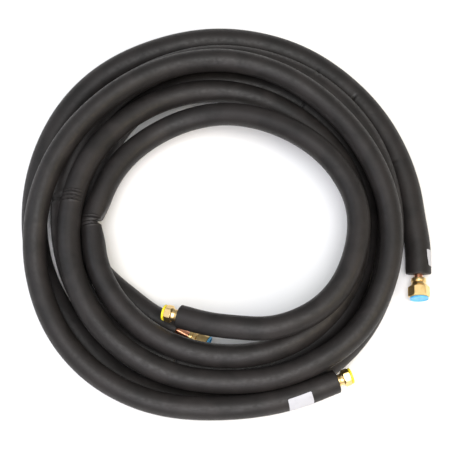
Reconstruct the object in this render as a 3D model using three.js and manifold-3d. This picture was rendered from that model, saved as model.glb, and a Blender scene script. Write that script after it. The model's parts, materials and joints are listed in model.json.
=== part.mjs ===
// Mini split line set: two copper lines in black foam sleeves, wound into one loose coil that lies on a floor.
// The thin liquid line lies on top of the thicker suction line. Each line ends in a flare nut with a plastic cap.
// Units are millimetres, +Z is up. The origin is on the floor, in the middle of the coil's outline.

import * as THREE from "three";
import { mergeVertices } from "three/addons/utils/BufferGeometryUtils.js";
import Module from "manifold-3d";

const wasm = await Module();
wasm.setup();

// Tubes and their foam sleeves
const LIQUID_TUBE_OD = 6.35;
const LIQUID_TUBE_WALL = 0.8;
const LIQUID_FOAM_WALL = 10;
const SUCTION_TUBE_OD = 9.52;
const SUCTION_TUBE_WALL = 0.8;
const SUCTION_FOAM_WALL = 10;

// Bare copper between the foam's end and the nut
const LIQUID_OUTER_STUB = 0.5;
const LIQUID_INNER_STUB = 1;
const SUCTION_OUTER_STUB = 5;
const SUCTION_INNER_STUB = 14.5;

// Flare nuts: a round collar with a groove behind it, a cone that opens to the hexagon, and the threaded mouth
const LIQUID_NUT_FLATS = 17;
const LIQUID_NUT_HEX_LENGTH = 8.5;
const LIQUID_NUT_CONE_LENGTH = 3;
const LIQUID_NUT_COLLAR_OD = 13.5;
const LIQUID_NUT_COLLAR_LENGTH = 3.5;
const LIQUID_THREAD_BORE = 10;
const LIQUID_THREAD_DEPTH = 9;
const LIQUID_FLARE_OD = 8.8;
const SUCTION_NUT_FLATS = 22;
const SUCTION_NUT_HEX_LENGTH = 13.5;
const SUCTION_NUT_CONE_LENGTH = 4;
const SUCTION_NUT_COLLAR_OD = 17;
const SUCTION_NUT_COLLAR_LENGTH = 4.5;
const SUCTION_THREAD_BORE = 14.4;
const SUCTION_THREAD_DEPTH = 11.5;
const SUCTION_FLARE_OD = 12.6;
const COLLAR_EDGE = 1;
const GROOVE_DEPTH = 0.7;
const SHOULDER_SLOPE = 0.7;

// Plastic caps: a plug in the nut's mouth and a dished flange over its face
const LIQUID_CAP_OD = 18;
const SUCTION_CAP_OD = 21.6;
const CAP_FLANGE = 2.2;
const CAP_RIM = 1.4;
const CAP_DISH_DEPTH = 1;
const CAP_PLUG_LENGTH = 6;

// Blank stickers near each line's outer end. A side of 180 degrees is the sleeve's top, and 270 its outer side.
const LABEL_THICKNESS = 0.3;
const LIQUID_LABEL_LENGTH = 27;
const LIQUID_LABEL_ARC = 100;
const LIQUID_LABEL_SIDE = 245;
const LIQUID_LABEL_FROM_END = 32;
const SUCTION_LABEL_LENGTH = 20;
const SUCTION_LABEL_ARC = 90;
const SUCTION_LABEL_SIDE = 274;
const SUCTION_LABEL_FROM_END = 10;

// Clearances
const SEAT = 0.3;
const RUNNING = 0.4;

// Fineness of the solids
const STEP_LENGTH = 33;
const FOAM_SIDES = 12;
const TUBE_SIDES = 8;
const FITTING_SIDES = 16;

// How steeply a line climbs on to another, and how many steps before and after the climb are eased
const CLIMB = 0.25;
const EASE_STEPS = 1;

const FOAM_COLOUR = 0x2b2827;
const COPPER_COLOUR = 0xc9744f;
const BRASS_COLOUR = 0xc79a4b;
const YELLOW_COLOUR = 0xf0dc1e;
const BLUE_COLOUR = 0x5cb4ea;
const LABEL_COLOUR = 0xf1f1f4;

// Each line's route as [angle in degrees, radius in mm] about the coil's axis, counter-clockwise seen from above.
const LIQUID_ROUTE = [
  [248.5, 137], [270, 141], [292, 154], [315, 160.5], [337, 155.5], [360, 147], [382, 131.5], [405, 118.5],
  [427, 113.5], [450, 115.5], [472, 120], [495, 126], [517, 134.5], [540, 144.5], [562, 155.5], [585, 163],
  [607, 168], [630, 170.5], [652, 171.5], [675, 166.5], [697, 159.5], [720, 151.5], [742, 145.5], [765, 141.2],
  [787, 143], [810, 147.5], [832, 151.5], [855, 156], [877, 163.5], [900, 173], [922, 184], [945, 195],
  [967, 198.5], [990, 198.5], [1012, 202.5], [1035, 204], [1057, 196], [1080, 184], [1102, 174], [1125, 169.5],
  [1147, 171.5], [1170, 176], [1192, 179.5], [1215, 185], [1237, 196], [1260, 210.5], [1282, 224.5], [1305, 235],
  [1327, 234], [1350, 226.5], [1372, 227.5], [1382, 231.5],
];
const SUCTION_ROUTE = [
  [-17, 230], [-8, 222], [0, 216], [22, 213], [45, 214], [67, 218], [90, 221], [112, 223], [135, 226], [157, 223],
  [180, 219], [202, 219], [225, 221], [247, 220], [270, 215], [292, 210], [315, 204], [337, 195], [360, 189],
  [382, 187], [405, 187.5], [427, 189], [450, 190.5], [472, 190.5], [495, 190.5], [517, 187], [540, 183.5], [562, 181],
  [585, 180], [630, 180], [652, 178.5], [675, 174], [697, 166], [720, 161], [742, 161], [765, 164], [787, 166],
  [810, 168], [832, 169.5], [855, 167], [877, 160], [900, 153.5], [922, 155], [945, 145], [968, 143],
];

// The stretches in the order in which they are laid down, as [line, first angle, last angle]
const LAY_ORDER = [
  ["suction", -40, 300],
  ["suction", 625, 990],
  ["suction", 300, 625],
  ["liquid", 980, 1420],
  ["liquid", 620, 980],
  ["liquid", 220, 620],
];

const DEGREE = Math.PI / 180;
const UP = new THREE.Vector3(0, 0, 1);

// A curve that passes through given points, one for each equal step of its parameter.
class SteppedPath extends THREE.Curve {
  constructor(points) {
    super();
    this.points = points;
  }

  getPoint(t, target = new THREE.Vector3()) {
    const place = Math.min(Math.max(t, 0), 1) * (this.points.length - 1);
    const i = Math.min(Math.floor(place), this.points.length - 2);
    return target.lerpVectors(this.points[i], this.points[i + 1], place - i);
  }

  getUtoTmapping(u) {
    return u;
  }
}

// The size of a regular outline that stays clear of a circle of the given radius.
function around(radius, sides) {
  return radius / Math.cos(Math.PI / sides);
}

function polygon(radius, sides) {
  const corner = (_, i) => {
    const angle = (2 * Math.PI * i) / sides;
    return new THREE.Vector2(radius * Math.cos(angle), radius * Math.sin(angle));
  };
  return Array.from({ length: sides }, corner);
}

// The radius of a route at an angle, on a smooth curve through its stations.
function radiusAt(route, angle) {
  let i = 0;
  while (i < route.length - 2 && angle > route[i + 1][0]) i++;
  const slope = (k) => {
    const before = route[Math.max(k - 1, 0)];
    const after = route[Math.min(k + 1, route.length - 1)];
    return (after[1] - before[1]) / (after[0] - before[0]);
  };
  const [a, ra] = route[i];
  const [b, rb] = route[i + 1];
  const h = b - a;
  const t = (angle - a) / h;
  const start = (1 + 2 * t) * (1 - t) ** 2 * ra + t * (1 - t) ** 2 * h * slope(i);
  return start + t * t * (3 - 2 * t) * rb + t * t * (t - 1) * h * slope(i + 1);
}

// Points on the floor plan of a route, a step apart, each with its angle about the coil's axis.
function planOf(route) {
  const first = route[0][0];
  const last = route[route.length - 1][0];
  const fine = [];
  for (let angle = first; angle <= last; angle += 0.5) {
    const r = radiusAt(route, angle);
    const at = new THREE.Vector3(r * Math.cos(angle * DEGREE), r * Math.sin(angle * DEGREE), 0);
    const along = fine.length ? fine[fine.length - 1].along + at.distanceTo(fine[fine.length - 1].at) : 0;
    fine.push({ at, angle, along });
  }
  const length = fine[fine.length - 1].along;
  const steps = Math.round(length / STEP_LENGTH);
  const plan = [];
  let k = 0;
  for (let i = 0; i <= steps; i++) {
    const along = (length * i) / steps;
    while (k < fine.length - 2 && fine[k + 1].along < along) k++;
    const share = (along - fine[k].along) / (fine[k + 1].along - fine[k].along);
    const at = new THREE.Vector3().lerpVectors(fine[k].at, fine[k + 1].at, share);
    plan.push({ at, angle: THREE.MathUtils.lerp(fine[k].angle, fine[k + 1].angle, share) });
  }
  return plan;
}

// A plan with a straight run of whole steps added at each end, as long as the fittings there.
function withFittings(plan, startLength, endLength) {
  const run = (from, before, length, turn) => {
    const way = new THREE.Vector3().subVectors(from.at, before.at).normalize();
    const count = Math.ceil(length / STEP_LENGTH);
    return Array.from({ length: count }, (_, i) => ({
      at: from.at.clone().addScaledVector(way, (length * (i + 1)) / count),
      angle: from.angle + turn * (i + 1),
    }));
  };
  const n = plan.length;
  const before = run(plan[0], plan[1], startLength, -1).reverse();
  const after = run(plan[n - 1], plan[n - 2], endLength, 1);
  return [...before, ...plan, ...after];
}

// Splits each step of a line into short straight pieces, so that contact is found along its whole length.
function contactPoints(line) {
  const pieces = 4;
  const points = [];
  line.stations.forEach((station, i) => {
    const next = line.stations[Math.min(i + 1, line.stations.length - 1)];
    const parts = next === station ? 1 : pieces;
    for (let k = 0; k < parts; k++) {
      const share = k / parts;
      points.push({
        x: THREE.MathUtils.lerp(station.at.x, next.at.x, share),
        y: THREE.MathUtils.lerp(station.at.y, next.at.y, share),
        z: THREE.MathUtils.lerp(station.at.z, next.at.z, share),
        angle: THREE.MathUtils.lerp(station.angle, next.angle, share),
        station: i,
      });
    }
  });
  return points;
}

// The lowest height of each station of one stretch over everything that was laid before it.
function restOver(line, from, to, laid) {
  const points = contactPoints(line).filter((p) => p.angle >= from && p.angle <= to);
  for (const p of points) {
    let height = line.radius;
    for (const { other, below } of laid) {
      const apart = line.radius + other.radius + SEAT;
      for (const q of below) {
        if (other === line && Math.abs(q.angle - p.angle) < 90) continue;
        const across = Math.hypot(p.x - q.x, p.y - q.y);
        if (across < apart) height = Math.max(height, q.z + Math.sqrt(apart * apart - across * across));
      }
    }
    for (const i of [p.station, Math.min(p.station + 1, line.stations.length - 1)]) {
      line.needed[i] = Math.max(line.needed[i], height);
    }
  }
}

// Raises a line no more than it needs, in slopes that the copper can take.
function ease(line) {
  const n = line.stations.length;
  const climb = line.needed.map((_, i) =>
    Math.max(...line.needed.map((h, k) => h - CLIMB * STEP_LENGTH * Math.abs(i - k))),
  );
  const at = (list, i) => list[Math.min(Math.max(i, 0), n - 1)];
  const window = Array.from({ length: 2 * EASE_STEPS + 1 }, (_, k) => k - EASE_STEPS);
  const crest = climb.map((_, i) => Math.max(...window.map((k) => at(climb, i + k))));
  line.stations.forEach((station, i) => {
    station.at.z = window.reduce((sum, k) => sum + at(crest, i + k), 0) / window.length;
  });
}

// Lays the stretches down in order, a few times over, until each rests on those beneath it.
function settle(lines) {
  const passes = 6;
  for (let pass = 0; pass < passes; pass++) {
    for (const line of Object.values(lines)) line.needed = line.stations.map(() => line.radius);
    const laid = [];
    for (const [name, from, to] of LAY_ORDER) {
      const line = lines[name];
      restOver(line, from, to, laid);
      const below = contactPoints(line).filter((p) => p.angle >= from && p.angle <= to);
      laid.push({ other: line, below });
    }
    for (const line of Object.values(lines)) ease(line);
  }
}

function toSolid(geometry) {
  const bare = geometry.index ? geometry.toNonIndexed() : geometry.clone();
  bare.deleteAttribute("normal");
  bare.deleteAttribute("uv");
  const merged = mergeVertices(bare, 1e-4);
  const mesh = new wasm.Mesh({
    numProp: 3,
    vertProperties: merged.attributes.position.array,
    triVerts: new Uint32Array(merged.index.array),
  });
  return new wasm.Manifold(mesh);
}

function toGeometry(solid) {
  const mesh = solid.getMesh();
  const geometry = new THREE.BufferGeometry();
  geometry.setAttribute("position", new THREE.BufferAttribute(new Float32Array(mesh.vertProperties), 3));
  geometry.setIndex(new THREE.BufferAttribute(new Uint32Array(mesh.triVerts), 1));
  geometry.computeVertexNormals();
  return geometry;
}

// A solid turned about +Z from a closed profile of [radius, height] pairs, listed counter-clockwise.
function turned(profile, sides = FITTING_SIDES) {
  const points = profile.map(([r, z]) => new THREE.Vector2(r, z));
  const onAxis = points[0].x === 0 && points[points.length - 1].x === 0;
  if (!onAxis) points.push(points[0].clone());
  return new THREE.LatheGeometry(points, sides).rotateX(Math.PI / 2);
}

function alongPath(shape, points) {
  const options = { steps: points.length - 1, bevelEnabled: false, extrudePath: new SteppedPath(points) };
  return new THREE.ExtrudeGeometry(shape, options);
}

function ring(outer, inner, sides, innerSides) {
  const shape = new THREE.Shape(polygon(outer, sides));
  shape.holes.push(new THREE.Path(polygon(inner, innerSides)));
  return shape;
}

// One end of a line: where the foam stops, and the way the copper leaves it.
function endOf(points, atStart) {
  const [foamEnd, inside] = atStart ? [points[0], points[1]] : [points[points.length - 1], points[points.length - 2]];
  const way = new THREE.Vector3().subVectors(foamEnd, inside).normalize();
  return { foamEnd, way };
}

// The length of a nut with its cap on.
function fittingLength(fit) {
  return fit.collarLength + fit.coneLength + fit.hexLength + SEAT + CAP_FLANGE;
}

// Where the flared end of the tube starts, measured from the nut's collar face.
function flareStart(fit) {
  const nutLength = fit.collarLength + fit.coneLength + fit.hexLength;
  return nutLength - fit.threadDepth - (fit.flareOD - fit.tubeOD) / 2;
}

// The opened end of the tube, a thin cone at 45 degrees that keeps the nut on.
function flareSolid(fit) {
  const outer = fit.tubeOD / 2;
  const lip = fit.flareOD / 2;
  const inner = outer - fit.tubeWall;
  const inWall = fit.tubeWall / 4;
  const overlap = 1;
  const rise = lip - outer;
  return toSolid(
    turned(
      [
        [inner + inWall, -overlap],
        [outer - inWall, -overlap],
        [outer - inWall, 0],
        [lip, rise],
        [lip - fit.tubeWall * Math.SQRT1_2, rise + fit.tubeWall * Math.SQRT1_2],
        [inner + inWall, fit.tubeWall],
      ],
      TUBE_SIDES * 2,
    ),
  );
}

function nutGeometry(fit) {
  const length = fit.collarLength + fit.coneLength + fit.hexLength;
  const corner = around(fit.flats / 2, 6);
  const hexStart = fit.collarLength + fit.coneLength;
  const bevel = corner - fit.flats / 2;
  const hexagon = new THREE.Shape(polygon(corner, 6));
  const prism = toSolid(new THREE.ExtrudeGeometry(hexagon, { depth: length, bevelEnabled: false }));
  const collar = fit.collarOD / 2;
  const neck = fit.flats / 2 - bevel;
  const beyond = COLLAR_EDGE;
  const clear = corner + beyond;
  const outside = toSolid(
    turned([
      [0, 0],
      [collar - COLLAR_EDGE, 0],
      [collar, COLLAR_EDGE],
      [collar, fit.collarLength - COLLAR_EDGE],
      [collar - GROOVE_DEPTH, fit.collarLength],
      [neck, hexStart],
      [clear, hexStart + (clear - neck) * SHOULDER_SLOPE],
      [clear, length - (clear - fit.flats / 2)],
      [fit.flats / 2, length],
      [0, length],
    ]),
  );
  const shank = around(fit.tubeOD / 2 + RUNNING, FITTING_SIDES);
  const mouth = around(fit.threadBore / 2, FITTING_SIDES);
  const seatTop = length - fit.threadDepth;
  const bore = toSolid(
    turned([
      [0, -beyond],
      [shank, -beyond],
      [shank, seatTop - (mouth - shank)],
      [mouth, seatTop],
      [mouth, length + beyond],
      [0, length + beyond],
    ]),
  );
  return toGeometry(prism.intersect(outside).subtract(bore));
}

function capGeometry(fit) {
  const flange = fit.capOD / 2;
  const plug = fit.threadBore / 2 - SEAT;
  const dish = flange - CAP_RIM;
  return turned([
    [0, -CAP_PLUG_LENGTH],
    [plug, -CAP_PLUG_LENGTH],
    [plug, 0],
    [flange, 0],
    [flange, CAP_FLANGE],
    [dish, CAP_FLANGE],
    [dish, CAP_FLANGE - CAP_DISH_DEPTH],
    [0, CAP_FLANGE - CAP_DISH_DEPTH],
  ]);
}

// A thin sheet bent round the foam's outer side, along a stretch that starts some way from the line's outer end.
function labelGeometry(line, fit) {
  const inner = line.foamRadius + SEAT;
  const outer = inner + LABEL_THICKNESS;
  const cuts = 6;
  const centre = fit.labelSide * DEGREE;
  const half = (fit.labelArc / 2) * DEGREE;
  const angles = Array.from({ length: cuts + 1 }, (_, i) => centre - half + (2 * half * i) / cuts);
  const arc = (r) => angles.map((a) => new THREE.Vector2(r * Math.cos(a), r * Math.sin(a)));
  const shape = new THREE.Shape([...arc(outer), ...arc(inner).reverse()]);
  const fromStart = line.outerEndFirst ? line.foamPoints : [...line.foamPoints].reverse();
  const stretch = stretchOf(fromStart, fit.labelFromEnd, fit.labelLength);
  return alongPath(shape, line.outerEndFirst ? stretch : stretch.reverse());
}

// The points of a path from a distance along it, for a given length.
function stretchOf(points, from, length) {
  const along = [0];
  for (let i = 1; i < points.length; i++) along.push(along[i - 1] + points[i].distanceTo(points[i - 1]));
  const pointAt = (s) => {
    let i = 0;
    while (i < points.length - 2 && along[i + 1] < s) i++;
    return new THREE.Vector3().lerpVectors(points[i], points[i + 1], (s - along[i]) / (along[i + 1] - along[i]));
  };
  const inside = points.filter((_, i) => along[i] > from && along[i] < from + length);
  return [pointAt(from), ...inside, pointAt(from + length)];
}

const LIQUID_FIT = {
  tubeOD: LIQUID_TUBE_OD,
  tubeWall: LIQUID_TUBE_WALL,
  flats: LIQUID_NUT_FLATS,
  hexLength: LIQUID_NUT_HEX_LENGTH,
  coneLength: LIQUID_NUT_CONE_LENGTH,
  collarOD: LIQUID_NUT_COLLAR_OD,
  collarLength: LIQUID_NUT_COLLAR_LENGTH,
  threadBore: LIQUID_THREAD_BORE,
  threadDepth: LIQUID_THREAD_DEPTH,
  flareOD: LIQUID_FLARE_OD,
  capOD: LIQUID_CAP_OD,
  capColour: YELLOW_COLOUR,
  labelLength: LIQUID_LABEL_LENGTH,
  labelArc: LIQUID_LABEL_ARC,
  labelFromEnd: LIQUID_LABEL_FROM_END,
  labelSide: LIQUID_LABEL_SIDE,
};
const SUCTION_FIT = {
  tubeOD: SUCTION_TUBE_OD,
  tubeWall: SUCTION_TUBE_WALL,
  flats: SUCTION_NUT_FLATS,
  hexLength: SUCTION_NUT_HEX_LENGTH,
  coneLength: SUCTION_NUT_CONE_LENGTH,
  collarOD: SUCTION_NUT_COLLAR_OD,
  collarLength: SUCTION_NUT_COLLAR_LENGTH,
  threadBore: SUCTION_THREAD_BORE,
  threadDepth: SUCTION_THREAD_DEPTH,
  flareOD: SUCTION_FLARE_OD,
  capOD: SUCTION_CAP_OD,
  capColour: BLUE_COLOUR,
  labelLength: SUCTION_LABEL_LENGTH,
  labelArc: SUCTION_LABEL_ARC,
  labelFromEnd: SUCTION_LABEL_FROM_END,
  labelSide: SUCTION_LABEL_SIDE,
};

// A line with its stations, and the radius that it keeps clear: the foam's, or the nut's as it turns if that is more.
function makeLine(route, foamWall, fit, startStub, endStub, outerEndFirst) {
  const foamRadius = fit.tubeOD / 2 + foamWall;
  const swing = around(Math.max(fit.flats / 2, fit.capOD / 2), 6);
  const radius = Math.max(foamRadius, swing);
  const plan = planOf(route);
  const stations = withFittings(plan, startStub + fittingLength(fit), endStub + fittingLength(fit));
  const before = Math.ceil((startStub + fittingLength(fit)) / STEP_LENGTH);
  return { fit, stations, before, steps: plan.length, foamRadius, radius, startStub, endStub, outerEndFirst };
}

const lines = {
  suction: makeLine(SUCTION_ROUTE, SUCTION_FOAM_WALL, SUCTION_FIT, SUCTION_OUTER_STUB, SUCTION_INNER_STUB, true),
  liquid: makeLine(LIQUID_ROUTE, LIQUID_FOAM_WALL, LIQUID_FIT, LIQUID_INNER_STUB, LIQUID_OUTER_STUB, false),
};
settle(lines);

const coil = new THREE.Group();

function addMesh(parent, name, geometry, colour, roughness, metalness) {
  const material = new THREE.MeshStandardMaterial({ color: colour, roughness, metalness });
  const mesh = new THREE.Mesh(geometry, material);
  mesh.name = name;
  parent.add(mesh);
  return mesh;
}

function addLine(name, line) {
  const { fit } = line;
  line.foamPoints = line.stations.slice(line.before, line.before + line.steps).map((s) => s.at);
  const start = endOf(line.foamPoints, true);
  const end = endOf(line.foamPoints, false);
  const bore = fit.tubeOD / 2 + around(SEAT, TUBE_SIDES);
  const foam = ring(line.foamRadius, bore, FOAM_SIDES, TUBE_SIDES);
  addMesh(coil, `${name}_line_foam`, alongPath(foam, line.foamPoints), FOAM_COLOUR, 0.85, 0);
  addMesh(coil, `${name}_line_copper`, copperGeometry(line, start, end), COPPER_COLOUR, 0.35, 1);
  addMesh(coil, `${name}_line_label`, labelGeometry(line, fit), LABEL_COLOUR, 0.6, 0);
  return { start, end };
}

function copperGeometry(line, start, end) {
  const { fit } = line;
  const reach = flareStart(fit);
  const first = start.foamEnd.clone().addScaledVector(start.way, line.startStub + reach);
  const last = end.foamEnd.clone().addScaledVector(end.way, line.endStub + reach);
  const tube = ring(fit.tubeOD / 2, fit.tubeOD / 2 - fit.tubeWall, TUBE_SIDES, TUBE_SIDES);
  const body = toSolid(alongPath(tube, [first, ...line.foamPoints, last]));
  const flare = (at, way) => {
    const turn = new THREE.Quaternion().setFromUnitVectors(UP, way);
    const place = new THREE.Matrix4().compose(at, turn, new THREE.Vector3(1, 1, 1));
    return flareSolid(fit).transform(place.elements);
  };
  return toGeometry(body.add(flare(first, start.way)).add(flare(last, end.way)));
}

function addFitting(name, line, end, stub) {
  const { fit } = line;
  const group = new THREE.Group();
  group.position.copy(end.foamEnd).addScaledVector(end.way, stub);
  group.quaternion.setFromUnitVectors(UP, end.way);
  addMesh(group, `${name}_flare_nut`, nutGeometry(fit), BRASS_COLOUR, 0.3, 1);
  const cap = addMesh(group, `${name}_cap`, capGeometry(fit), fit.capColour, 0.35, 0);
  cap.position.z = fit.collarLength + fit.coneLength + fit.hexLength + SEAT;
  coil.add(group);
}

const liquid = addLine("liquid", lines.liquid);
const suction = addLine("suction", lines.suction);
addFitting("liquid_inner", lines.liquid, liquid.start, LIQUID_INNER_STUB);
addFitting("liquid_outer", lines.liquid, liquid.end, LIQUID_OUTER_STUB);
addFitting("suction_outer", lines.suction, suction.start, SUCTION_OUTER_STUB);
addFitting("suction_inner", lines.suction, suction.end, SUCTION_INNER_STUB);

const middle = new THREE.Box3().setFromObject(coil, true).getCenter(new THREE.Vector3());
coil.position.set(-middle.x, -middle.y, 0);

const lineSet = new THREE.Group();
lineSet.name = "mini_split_line_set";
lineSet.add(coil);

export default lineSet;
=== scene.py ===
"""Mini split line set: a coil of two copper lines in black foam sleeves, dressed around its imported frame.

Units are metres and +Z is up. The origin is on the floor, in the middle of the coil's outline. Sizes that a
maker would give in millimetres are written as such and turned into metres with MM. Round a line's section an
angle of 0 points up, 90 degrees points away from the coil's eye, and -90 degrees points into it.
"""

import json
import logging
import math
from dataclasses import dataclass, field
from enum import Enum

import bmesh
import bpy
import numpy as np
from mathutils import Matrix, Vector

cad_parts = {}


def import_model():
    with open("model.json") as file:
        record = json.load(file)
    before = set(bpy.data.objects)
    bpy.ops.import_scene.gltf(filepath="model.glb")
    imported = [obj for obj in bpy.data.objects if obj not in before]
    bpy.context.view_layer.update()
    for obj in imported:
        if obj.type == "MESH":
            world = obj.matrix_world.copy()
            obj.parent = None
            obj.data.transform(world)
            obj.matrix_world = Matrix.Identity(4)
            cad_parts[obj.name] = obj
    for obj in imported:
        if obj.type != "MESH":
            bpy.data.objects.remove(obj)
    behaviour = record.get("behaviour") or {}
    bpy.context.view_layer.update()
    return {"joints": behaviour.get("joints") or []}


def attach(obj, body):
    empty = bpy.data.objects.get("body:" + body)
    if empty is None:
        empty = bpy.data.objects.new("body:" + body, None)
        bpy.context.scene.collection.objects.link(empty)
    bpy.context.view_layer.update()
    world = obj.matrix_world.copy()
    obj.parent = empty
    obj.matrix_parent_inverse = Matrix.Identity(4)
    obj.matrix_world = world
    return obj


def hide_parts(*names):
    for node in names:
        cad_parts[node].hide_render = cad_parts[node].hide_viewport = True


MM = 0.001
DEGREE = math.pi / 180
LOG = logging.getLogger("line_set")

Array = np.ndarray
Pair = tuple[float, float]
Triple = tuple[float, float, float]
Material = bpy.types.Material
Piece = bpy.types.Object
Socket = bpy.types.NodeSocket


class LineKind(Enum):
    """The two lines of the set, by the names that their nodes start with."""

    LIQUID = "liquid"
    SUCTION = "suction"


class End(Enum):
    """The two ends of a line."""

    INNER = "inner"
    OUTER = "outer"


class Slot(Enum):
    """The record's material slots."""

    FOAM = "foam"
    COPPER = "copper"
    BRASS = "brass"
    YELLOW = "yellow_plastic"
    BLUE = "blue_plastic"
    LABEL = "label"


@dataclass(frozen=True)
class LineSizes:
    """The sizes of one line and its fittings, in millimetres, as the frame has them."""

    tube_od: float
    tube_wall: float
    foam_wall: float
    flats: float
    collar_od: float
    collar_length: float
    cone_length: float
    hex_length: float
    bore: float
    thread_depth: float
    thread_pitch: float
    flare_od: float
    cap_od: float
    label_length: float
    label_arc: float
    label_from_end: float
    label_side: float
    label_skew: float

    @property
    def foam_radius(self) -> float:
        """The sleeve's outer radius."""
        return self.tube_od / 2 + self.foam_wall

    @property
    def nut_length(self) -> float:
        """The nut's length from its collar face to its mouth."""
        return self.collar_length + self.cone_length + self.hex_length


LIQUID_SIZES = LineSizes(
    tube_od=6.35, tube_wall=0.8, foam_wall=10,
    flats=17, collar_od=13.5, collar_length=3.5, cone_length=3, hex_length=8.5,
    bore=10, thread_depth=9, thread_pitch=1.27, flare_od=8.8, cap_od=18,
    label_length=27, label_arc=100, label_from_end=32, label_side=61, label_skew=-2,
)
SUCTION_SIZES = LineSizes(
    tube_od=9.52, tube_wall=0.8, foam_wall=10,
    flats=22, collar_od=17, collar_length=4.5, cone_length=4, hex_length=13.5,
    bore=14.4, thread_depth=11.5, thread_pitch=1.41, flare_od=12.6, cap_od=21.6,
    label_length=18.5, label_arc=90, label_from_end=8, label_side=84, label_skew=-5,
)


@dataclass(frozen=True)
class Crease:
    """A fold that a tight bend has left in a sleeve.

    Attributes:
        turn: Where it lies, as the angle in degrees that the line has turned about the coil's eye.
        side: The side of the section where it is deepest, in degrees.
        depth: How deep the groove is, in millimetres.
        width: How wide the groove is, in millimetres.
        wrap: How far round the section it reaches to each side, in degrees.
        rise: How far the foam swells up beside the groove, in millimetres.
        slant: How far the groove leans along the line at the edge of its wrap, in millimetres.
        bell: The power in the groove's section: 2 is a round bell and 1 a sharp V.
        straight: Whether it cuts straight across its side, rather than sinking in all round.
    """

    turn: float
    side: float
    depth: float
    width: float
    wrap: float
    rise: float = 0.3
    slant: float = 0
    bell: float = 2
    straight: bool = False


@dataclass(frozen=True)
class Kink:
    """A stretch where a line stands out from the CAD sleeve's curve, sharply or softly.

    Attributes:
        turn: Where it lies, as the angle in degrees that the line has turned about the coil's eye.
        out: How far the line stands out there, away from the coil's eye, in millimetres.
        width: How far along the line it is spread to each side, in millimetres.
        bell: The power in its outline: 2 is a round bell and 1 a sharp corner.
    """

    turn: float
    out: float
    width: float
    bell: float = 1.5


LIQUID_KINKS = (Kink(turn=544.4, out=3.8, width=16),)
SUCTION_KINKS = (
    Kink(turn=217, out=-5, width=62, bell=2),
    Kink(turn=574, out=6, width=80, bell=2),
    Kink(turn=908, out=9.5, width=40, bell=2),
)
LIQUID_CREASES = (
    Crease(turn=544.0, side=-20, depth=1.2, width=0.9, wrap=150, rise=0.5),
    Crease(turn=544.4, side=-90, depth=3.2, width=16, wrap=90, rise=0, bell=1.5, straight=True),
    Crease(turn=544.4, side=-90, depth=9.8, width=2.8, wrap=90, rise=0, slant=5, bell=1.2, straight=True),
    Crease(turn=545.6, side=-10, depth=0.4, width=0.8, wrap=120, rise=0.3, slant=3),
    Crease(turn=546.7, side=-20, depth=1.2, width=0.9, wrap=150, rise=0.5, slant=5.5),
    Crease(turn=894.5, side=8, depth=1.1, width=0.8, wrap=78, rise=0.9, slant=2.5),
    Crease(turn=895.9, side=8, depth=1.1, width=0.8, wrap=80, rise=0.9, slant=2.2),
    Crease(turn=897.5, side=4, depth=1.4, width=0.9, wrap=80, rise=1.0, slant=2),
)
SUCTION_CREASES = (
    Crease(turn=19, side=-66, depth=1.4, width=2.2, wrap=60),
    Crease(turn=44, side=-60, depth=1.7, width=1.8, wrap=70, slant=1.5),
    Crease(turn=59, side=-66, depth=0.7, width=2.4, wrap=60),
    Crease(turn=418, side=45, depth=0.6, width=1.8, wrap=60),
    Crease(turn=534.3, side=30, depth=2.4, width=3.0, wrap=110, rise=0.5),
    Crease(turn=612, side=10, depth=1.3, width=1.4, wrap=60, rise=0.2),
    Crease(turn=776.5, side=0, depth=0.9, width=1.6, wrap=80),
)


@dataclass(frozen=True)
class Frames:
    """Points along a path, with the two directions of the section at each.

    Attributes:
        centres: The points, one row each.
        ups: The section's direction at angle 0.
        outs: The section's direction at 90 degrees.
    """

    centres: Array
    ups: Array
    outs: Array


def unit(vectors: Array) -> Array:
    """Returns the vectors of an array, each divided by its own length."""
    return vectors / np.linalg.norm(vectors, axis=-1, keepdims=True)


def smoothstep(share: Array) -> Array:
    """Returns 3t² - 2t³ of a share that is first held between 0 and 1."""
    held = np.clip(share, 0, 1)
    return held * held * (3 - 2 * held)


def round_the_section(count: int) -> Array:
    """Returns that many equally spaced angles of one full turn, in radians."""
    return np.arange(count) * (2 * math.pi / count)


def carry(frames: Frames, radii: Array, angles: Array) -> Array:
    """Carries a section along a path.

    The point is the path's point plus the radius times (cos angle × up + sin angle × out).

    Args:
        frames: The path's points and directions, one for each row.
        radii: The radius at each row and angle, or one for each row.
        angles: The angles round the section in radians, the same for all rows or a row each.

    Returns:
        The points, as rows by angles by 3.
    """
    spread = radii if radii.ndim == 2 else radii[:, None]
    turn = np.atleast_2d(angles)[..., None]
    way = np.cos(turn) * frames.ups[:, None] + np.sin(turn) * frames.outs[:, None]
    return frames.centres[:, None] + spread[..., None] * way


def grid_faces(rows: int, columns: int, rows_close: bool, columns_close: bool = True) -> Array:
    """Returns the four corners of each face of a grid, in the order that makes a section face outwards."""
    row = np.arange(rows if rows_close else rows - 1)[:, None]
    column = np.arange(columns if columns_close else columns - 1)[None, :]
    below = (row + 1) % rows
    beside = (column + 1) % columns
    here, under = row * columns, below * columns
    return np.stack((here + column, here + beside, under + beside, under + column), axis=-1).reshape(-1, 4)


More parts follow.
